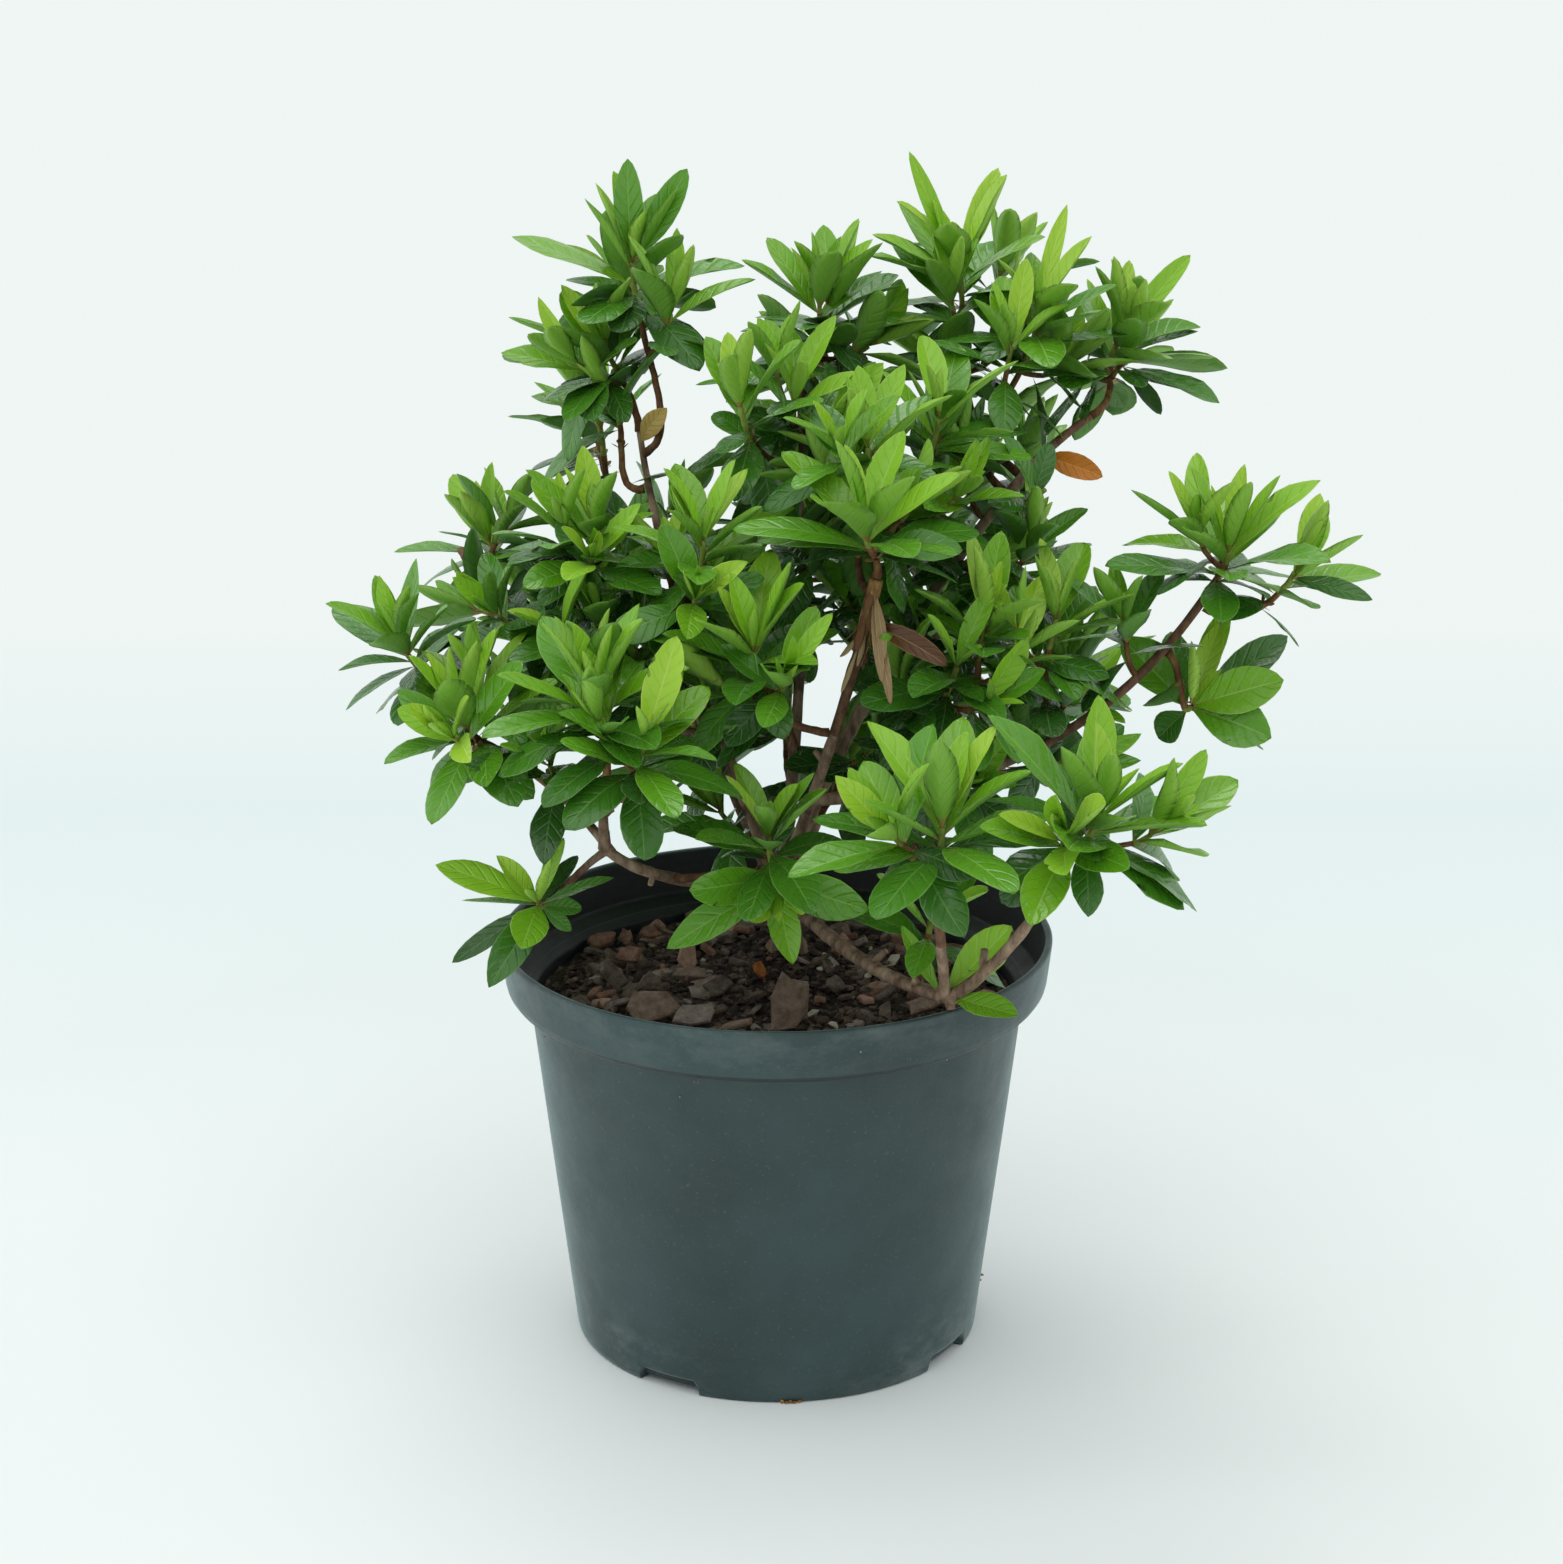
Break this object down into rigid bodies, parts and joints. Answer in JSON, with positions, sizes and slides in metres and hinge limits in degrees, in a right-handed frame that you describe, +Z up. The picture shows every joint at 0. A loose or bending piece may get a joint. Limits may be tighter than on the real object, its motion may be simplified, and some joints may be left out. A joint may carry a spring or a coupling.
{
  "type": "potted azalea shrub",
  "caption": "Compact evergreen azalea with whorls of pointed leaves on short boughs, in a round plastic nursery pot.",
  "frame": {"origin": "centre of the pot's flat underside", "axes": "+Z up along the pot's axis, -Y towards the front of the plant, +X to its right as seen from the front"},
  "size_m": [0.2845, 0.2548, 0.3249],
  "materials": {
    "pot": "satin dark slate, slightly scuffed",
    "soil": "damp peat and bark chips",
    "bark": "fine rough grey-brown bark",
    "leaf": "satin leaf green"
  },
  "bodies": {
    "root": {"back_left": "bark", "back_left_high": "leaf", "back_left_low": "leaf", "back_low": "leaf", "back_mid": "leaf", "back_right": "bark", "back_right_high": "leaf", "back_right_low": "leaf", "centre": "bark", "centre_foot": "leaf", "centre_low": "leaf", "centre_mid": "leaf", "crown_front": "leaf", "crown_heart": "leaf", "crown_right": "leaf", "far_left_up": "leaf", "foot_sprout": "leaf", "left_arm": "bark", "left_back": "bark", "left_end": "leaf", "left_far_back": "leaf", "left_far_front": "leaf", "left_front_high": "leaf", "left_front_low": "leaf", "left_heart": "leaf", "left_low": "bark", "left_mid_back": "leaf", "left_mid_front": "leaf", "left_side": "bark", "left_tall": "bark", "left_up": "bark", "low_right_front": "leaf", "low_right_side": "leaf", "mid_tall": "bark", "pot": "pot", "right_arm": "bark", "right_end": "leaf", "right_end_far": "leaf", "right_heart": "leaf", "right_low": "bark", "right_low_end": "leaf", "right_mid_front": "leaf", "right_mid_side": "leaf", "right_shoulder": "leaf", "right_side": "bark", "right_tall": "bark", "right_top": "bark", "right_up": "bark", "soil": "soil", "top_left": "leaf", "top_left_low": "leaf", "top_left_side": "leaf", "top_mid": "leaf", "top_mid_front": "leaf", "top_mid_side": "leaf", "top_right_end": "leaf", "top_right_left": "leaf", "top_right_mid": "leaf", "trunk": "bark"}
  },
  "joints": []
}
